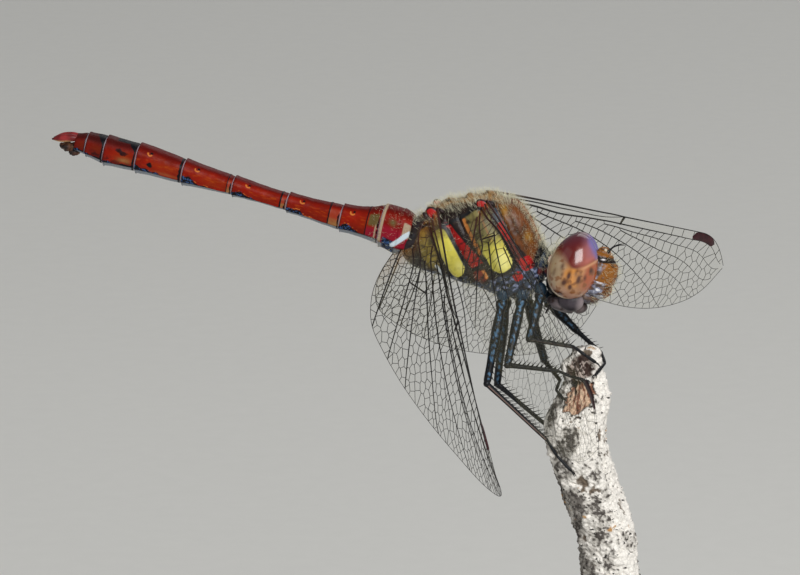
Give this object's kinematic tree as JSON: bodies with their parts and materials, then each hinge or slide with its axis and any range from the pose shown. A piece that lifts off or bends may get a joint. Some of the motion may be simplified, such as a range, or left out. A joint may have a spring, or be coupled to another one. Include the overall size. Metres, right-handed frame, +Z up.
{
  "type": "dragonfly",
  "caption": "Life-size still model of a male common darter dragonfly gripping a cut lichen-crusted twig, on a rod and round base.",
  "frame": {"origin": "centre of the flat underside of the round stand base", "axes": "+Z up, +X towards the dragonfly's head side, +Y towards its left side; the body itself is turned 10.4 degrees to -Y and pitched 11.3 degrees head down"},
  "size_m": [0.0576, 0.0508, 0.0586],
  "materials": {
    "red_shell": "glossy scarlet chitin with pale joint rings and black marks",
    "brown_shell": "satin brown chitin with yellow and red side bands and pale hair",
    "eye": "glossy faceted eye, dark red above and tan below",
    "face": "satin orange-tan chitin",
    "leg": "satin black chitin with a pale stripe",
    "wing": "clear iridescent membrane with black veins",
    "bark": "rough bark crusted with pale lichen",
    "stand_wood": "black-stained, satin-lacquered wood",
    "stand_steel": "brushed"
  },
  "bodies": {
    "root": {"abdomen_s01": "red_shell", "abdomen_s02": "red_shell", "abdomen_s03": "red_shell", "abdomen_s04": "red_shell", "abdomen_s05": "red_shell", "abdomen_s06": "red_shell", "abdomen_s07": "red_shell", "abdomen_s08": "red_shell", "abdomen_s09": "red_shell", "abdomen_s10": "red_shell", "antenna_left": "leg", "antenna_right": "leg", "cercus_left": "red_shell", "cercus_right": "red_shell", "clypeus": "face", "coxa_fore_left": "leg", "coxa_fore_right": "leg", "coxa_hind_left": "leg", "coxa_hind_right": "leg", "coxa_mid_left": "leg", "coxa_mid_right": "leg", "epiproct": "face", "eye_left": "eye", "eye_right": "eye", "femur_fore_left": "leg", "femur_fore_right": "leg", "femur_hind_left": "leg", "femur_hind_right": "leg", "femur_mid_left": "leg", "femur_mid_right": "leg", "frons": "face", "labium": "face", "labrum": "face", "mandible_left": "face", "mandible_right": "face", "perch_twig": "bark", "prothorax": "brown_shell", "skull": "brown_shell", "stand_base": "stand_wood", "stand_rod": "stand_steel", "tarsus_fore_left": "leg", "tarsus_fore_right": "leg", "tarsus_hind_left": "leg", "tarsus_hind_right": "leg", "tarsus_mid_left": "leg", "tarsus_mid_right": "leg", "thorax": "brown_shell", "tibia_fore_left": "leg", "tibia_fore_right": "leg", "tibia_hind_left": "leg", "tibia_hind_right": "leg", "tibia_mid_left": "leg", "tibia_mid_right": "leg", "vertex": "face", "wing_fore_left": "wing", "wing_fore_right": "wing", "wing_hind_left": "wing", "wing_hind_right": "wing"}
  },
  "joints": []
}
